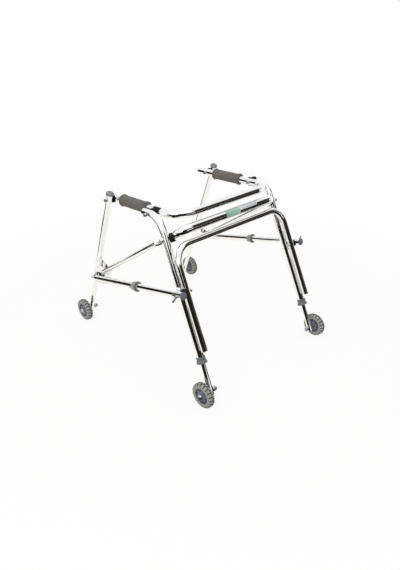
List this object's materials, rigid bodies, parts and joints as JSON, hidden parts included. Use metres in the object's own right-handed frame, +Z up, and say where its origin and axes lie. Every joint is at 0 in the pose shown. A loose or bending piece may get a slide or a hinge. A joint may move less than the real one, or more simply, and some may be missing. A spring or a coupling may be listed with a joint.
{
  "type": "posterior walker",
  "caption": "Posterior walker for a small child: chromed tube frame behind the user, foam handles, sloping side bars, telescopic legs and small wheels.",
  "frame": {"origin": "on the floor, midway between the axles and between the two sides", "axes": "+X the user's right, +Y forward (the open side), +Z up"},
  "size_m": [0.5516, 0.686, 0.5027],
  "materials": {
    "chrome_tube": "polished",
    "foam_grip": "matte",
    "black_saddle": "moulded",
    "grey_cap": "moulded",
    "blue_grey_cap": "moulded",
    "grey_collar": "moulded",
    "tyre": "speckled",
    "hub": "moulded",
    "spring_steel": "plain",
    "zinc_fastener": "zinc plated"
  },
  "bodies": {
    "frame": {"back_bar": "chrome_tube", "rear_frame": "chrome_tube", "rear_frame_pads": "chrome_tube", "rear_leg_left": "chrome_tube", "rear_leg_right": "chrome_tube", "rear_collars": "grey_collar", "frame_saddles": "black_saddle", "frame_bolts": "zinc_fastener", "wing_nuts": "zinc_fastener"},
    "rear_slider_left": {"rear_extension_left": "chrome_tube", "rear_spring_left": "spring_steel", "axle_rear_left": "zinc_fastener"},
    "rear_wheel_left": {"tyre_rear_left": "tyre", "hub_rear_left": "hub"},
    "rear_button_left": {"rear_button_left": "zinc_fastener"},
    "rear_slider_right": {"rear_extension_right": "chrome_tube", "rear_spring_right": "spring_steel", "axle_rear_right": "zinc_fastener"},
    "rear_wheel_right": {"tyre_rear_right": "tyre", "hub_rear_right": "hub"},
    "rear_button_right": {"rear_button_right": "zinc_fastener"},
    "front_slider_left": {"front_extension_left": "chrome_tube", "front_spring_left": "spring_steel", "axle_front_left": "zinc_fastener"},
    "front_wheel_left": {"tyre_front_left": "tyre", "hub_front_left": "hub"},
    "front_button_left": {"front_button_left": "zinc_fastener"},
    "front_slider_right": {"front_extension_right": "chrome_tube", "front_spring_right": "spring_steel", "axle_front_right": "zinc_fastener"},
    "front_wheel_right": {"tyre_front_right": "tyre", "hub_front_right": "hub"},
    "front_button_right": {"front_button_right": "zinc_fastener"},
    "handle": {"handle_tube": "chrome_tube", "grip_left": "foam_grip", "grip_right": "foam_grip", "handle_saddles": "black_saddle", "handle_bolts": "zinc_fastener"},
    "bar_button_left": {"bar_button_left": "zinc_fastener"},
    "front_leg_left": {"front_leg_left": "chrome_tube", "front_cap_left": "grey_cap", "corner_bracket_left": "chrome_tube", "bracket_bolts_left": "zinc_fastener"},
    "brace_left": {"brace_left": "chrome_tube"},
    "bar_rear_left": {"side_bar_rear_left": "chrome_tube", "bar_cap_left": "blue_grey_cap", "bar_spring_left": "spring_steel"},
    "bar_front_left": {"side_bar_left": "chrome_tube", "bar_collar_left": "grey_collar"},
    "bar_button_right": {"bar_button_right": "zinc_fastener"},
    "front_leg_right": {"front_leg_right": "chrome_tube", "front_cap_right": "grey_cap", "corner_bracket_right": "chrome_tube", "bracket_bolts_right": "zinc_fastener"},
    "brace_right": {"brace_right": "chrome_tube"},
    "bar_rear_right": {"side_bar_rear_right": "chrome_tube", "bar_cap_right": "blue_grey_cap", "bar_spring_right": "spring_steel"},
    "bar_front_right": {"side_bar_right": "chrome_tube", "bar_collar_right": "grey_collar"}
  },
  "joints": [
    {"name": "frame_fold", "type": "hinge", "parent": "frame", "child": "handle", "pos_m": [0, -0.04956, 0.48686], "axis": [-1, 0, 0], "range_deg": [0, 36]},
    {"name": "front_leg_fold_left", "type": "hinge", "parent": "handle", "child": "front_leg_left", "pos_m": [-0.21385, 0.14573, 0.4756], "axis": [-1, 0, 0], "range_deg": [-17.8, 0]},
    {"name": "brace_fold_left", "type": "hinge", "parent": "frame", "child": "brace_left", "pos_m": [-0.2327, -0.11825, 0.43308], "axis": [-1, 0, 0], "range_deg": [0, 26.1]},
    {"name": "bar_swing_left", "type": "hinge", "parent": "frame", "child": "bar_rear_left", "pos_m": [-0.251, -0.20461, 0.31121], "axis": [-1, 0, 0], "range_deg": [0, 23.5]},
    {"name": "bar_slide_left", "type": "slide", "parent": "bar_rear_left", "child": "bar_front_left", "axis": [0, -0.9668, 0.2556], "range_m": [0, 0.0647], "deforming": ["bar_button_left"]},
    {"name": "front_leg_fold_right", "type": "hinge", "parent": "handle", "child": "front_leg_right", "pos_m": [0.21385, 0.14573, 0.4756], "axis": [-1, 0, 0], "range_deg": [-17.8, 0]},
    {"name": "brace_fold_right", "type": "hinge", "parent": "frame", "child": "brace_right", "pos_m": [0.2327, -0.11825, 0.43308], "axis": [-1, 0, 0], "range_deg": [0, 26.1]},
    {"name": "bar_swing_right", "type": "hinge", "parent": "frame", "child": "bar_rear_right", "pos_m": [0.251, -0.20461, 0.31121], "axis": [-1, 0, 0], "range_deg": [0, 23.5]},
    {"name": "bar_slide_right", "type": "slide", "parent": "bar_rear_right", "child": "bar_front_right", "axis": [0, -0.9668, 0.2556], "range_m": [0, 0.0647], "deforming": ["bar_button_right"]},
    {"name": "rear_leg_height_left", "type": "slide", "parent": "frame", "child": "rear_slider_left", "axis": [0.0258, 0.4272, 0.9038], "range_m": [-0.0508, 0.0254], "deforming": ["rear_button_left"]},
    {"name": "rear_wheel_spin_left", "type": "hinge", "parent": "rear_slider_left", "child": "rear_wheel_left", "pos_m": [-0.2573, -0.305, 0.038], "axis": [1, 0, 0], "continuous": true},
    {"name": "rear_button_press_left", "type": "slide", "parent": "rear_slider_left", "child": "rear_button_left", "axis": [0, -0.9041, 0.4274], "range_m": [0, 0.004], "stiffness_N_per_m": 800, "deforming": ["rear_spring_left"]},
    {"name": "rear_leg_height_right", "type": "slide", "parent": "frame", "child": "rear_slider_right", "axis": [-0.0258, 0.4272, 0.9038], "range_m": [-0.0508, 0.0254], "deforming": ["rear_button_right"]},
    {"name": "rear_wheel_spin_right", "type": "hinge", "parent": "rear_slider_right", "child": "rear_wheel_right", "pos_m": [0.2573, -0.305, 0.038], "axis": [1, 0, 0], "continuous": true},
    {"name": "rear_button_press_right", "type": "slide", "parent": "rear_slider_right", "child": "rear_button_right", "axis": [0, -0.9041, 0.4274], "range_m": [0, 0.004], "stiffness_N_per_m": 800, "deforming": ["rear_spring_right"]},
    {"name": "front_leg_height_left", "type": "slide", "parent": "front_leg_left", "child": "front_slider_left", "axis": [0.0181, -0.342, 0.9395], "range_m": [-0.0762, 0.0508], "deforming": ["front_button_left"]},
    {"name": "front_wheel_spin_left", "type": "hinge", "parent": "front_slider_left", "child": "front_wheel_left", "pos_m": [-0.2493, 0.305, 0.038], "axis": [1, 0, 0], "continuous": true},
    {"name": "front_button_press_left", "type": "slide", "parent": "front_slider_left", "child": "front_button_left", "axis": [0, -0.9397, -0.342], "range_m": [0, 0.004], "stiffness_N_per_m": 800, "deforming": ["front_spring_left"]},
    {"name": "front_leg_height_right", "type": "slide", "parent": "front_leg_right", "child": "front_slider_right", "axis": [-0.0181, -0.342, 0.9395], "range_m": [-0.0762, 0.0508], "deforming": ["front_button_right"]},
    {"name": "front_wheel_spin_right", "type": "hinge", "parent": "front_slider_right", "child": "front_wheel_right", "pos_m": [0.2493, 0.305, 0.038], "axis": [1, 0, 0], "continuous": true},
    {"name": "front_button_press_right", "type": "slide", "parent": "front_slider_right", "child": "front_button_right", "axis": [0, -0.9397, -0.342], "range_m": [0, 0.004], "stiffness_N_per_m": 800, "deforming": ["front_spring_right"]},
    {"name": "bar_button_press_left", "type": "slide", "parent": "bar_rear_left", "child": "bar_button_left", "axis": [1, 0, 0], "range_m": [0, 0.004], "stiffness_N_per_m": 800, "deforming": ["bar_spring_left"]},
    {"name": "bar_button_press_right", "type": "slide", "parent": "bar_rear_right", "child": "bar_button_right", "axis": [-1, 0, 0], "range_m": [0, 0.004], "stiffness_N_per_m": 800, "deforming": ["bar_spring_right"]}
  ],
  "couplings": [
    {"joint": "front_leg_fold_left", "follows": "frame_fold", "ratio": -0.4927},
    {"joint": "brace_fold_left", "follows": "frame_fold", "ratio": 0.7221},
    {"joint": "bar_swing_left", "follows": "frame_fold", "ratio": 0.6513},
    {"joint": "bar_slide_left", "follows": "frame_fold", "m_per_rad": 0.10275},
    {"joint": "front_leg_fold_right", "follows": "frame_fold", "ratio": -0.4927},
    {"joint": "brace_fold_right", "follows": "frame_fold", "ratio": 0.7221},
    {"joint": "bar_swing_right", "follows": "frame_fold", "ratio": 0.6513},
    {"joint": "bar_slide_right", "follows": "frame_fold", "m_per_rad": 0.10275}
  ]
}
